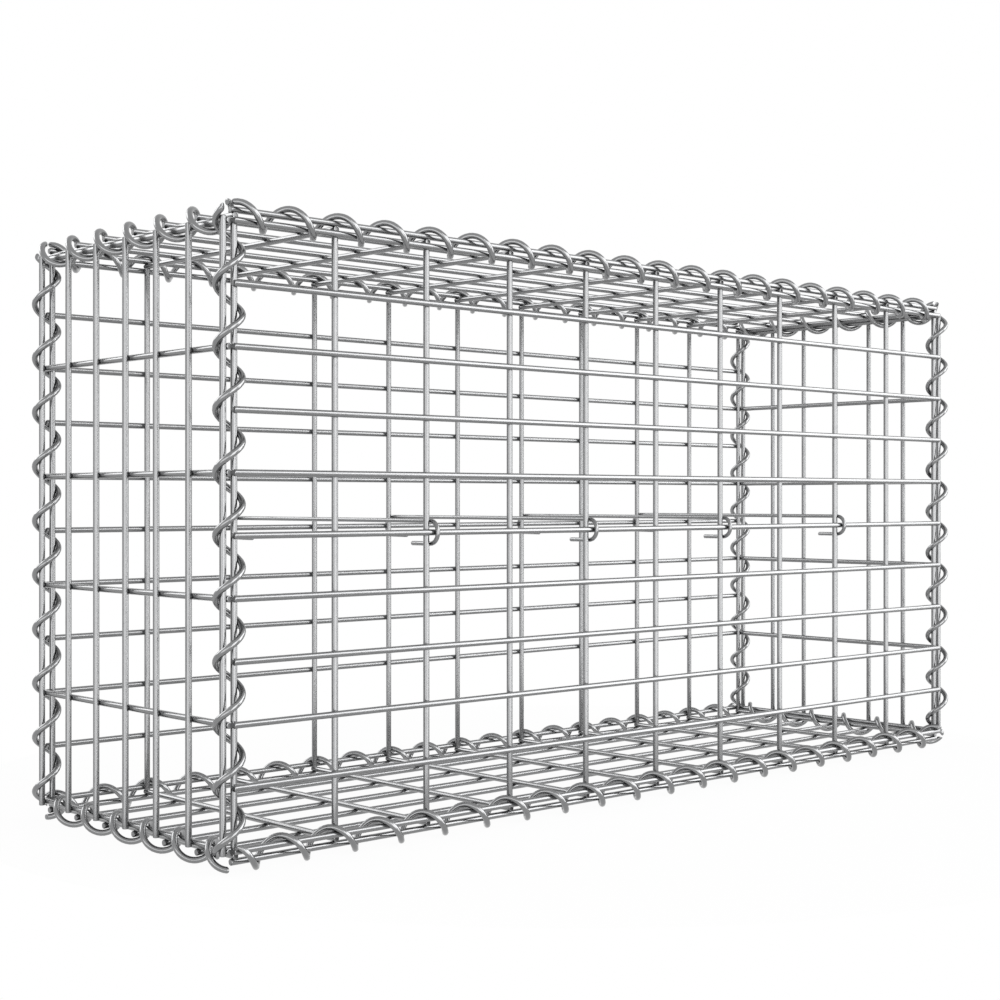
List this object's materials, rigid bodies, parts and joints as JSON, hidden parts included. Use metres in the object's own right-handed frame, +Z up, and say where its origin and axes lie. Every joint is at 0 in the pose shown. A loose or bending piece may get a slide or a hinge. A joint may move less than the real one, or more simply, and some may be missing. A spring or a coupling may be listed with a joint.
{
  "type": "gabion basket",
  "caption": "Empty welded mesh gabion basket: six flat wire panels laced along every edge by wire spirals, with hooked spacer rods from front to back.",
  "frame": {"origin": "middle of the basket's footprint, at the lowest turns of the base spirals", "axes": "+X along the length to the right as seen from the front, the front faces -Y, +Z up"},
  "size_m": [1.0372, 0.3315, 0.5358],
  "materials": {
    "mesh_wire": "bright zinc galvanised, smooth drawn wire",
    "spiral_wire": "bright zinc galvanised, smooth drawn wire",
    "spacer_wire": "bright zinc galvanised, smooth drawn wire"
  },
  "bodies": {
    "root": {"front_panel": "mesh_wire", "back_panel": "mesh_wire", "left_panel": "mesh_wire", "right_panel": "mesh_wire", "lid_panel": "mesh_wire", "base_panel": "mesh_wire", "front_left_spiral": "spiral_wire", "front_right_spiral": "spiral_wire", "back_left_spiral": "spiral_wire", "back_right_spiral": "spiral_wire", "lid_front_spiral": "spiral_wire", "lid_back_spiral": "spiral_wire", "lid_left_spiral": "spiral_wire", "lid_right_spiral": "spiral_wire", "base_front_spiral": "spiral_wire", "base_back_spiral": "spiral_wire", "base_left_spiral": "spiral_wire", "base_right_spiral": "spiral_wire", "spacer_1": "spacer_wire", "spacer_2": "spacer_wire", "spacer_3": "spacer_wire", "spacer_4": "spacer_wire"}
  },
  "joints": []
}
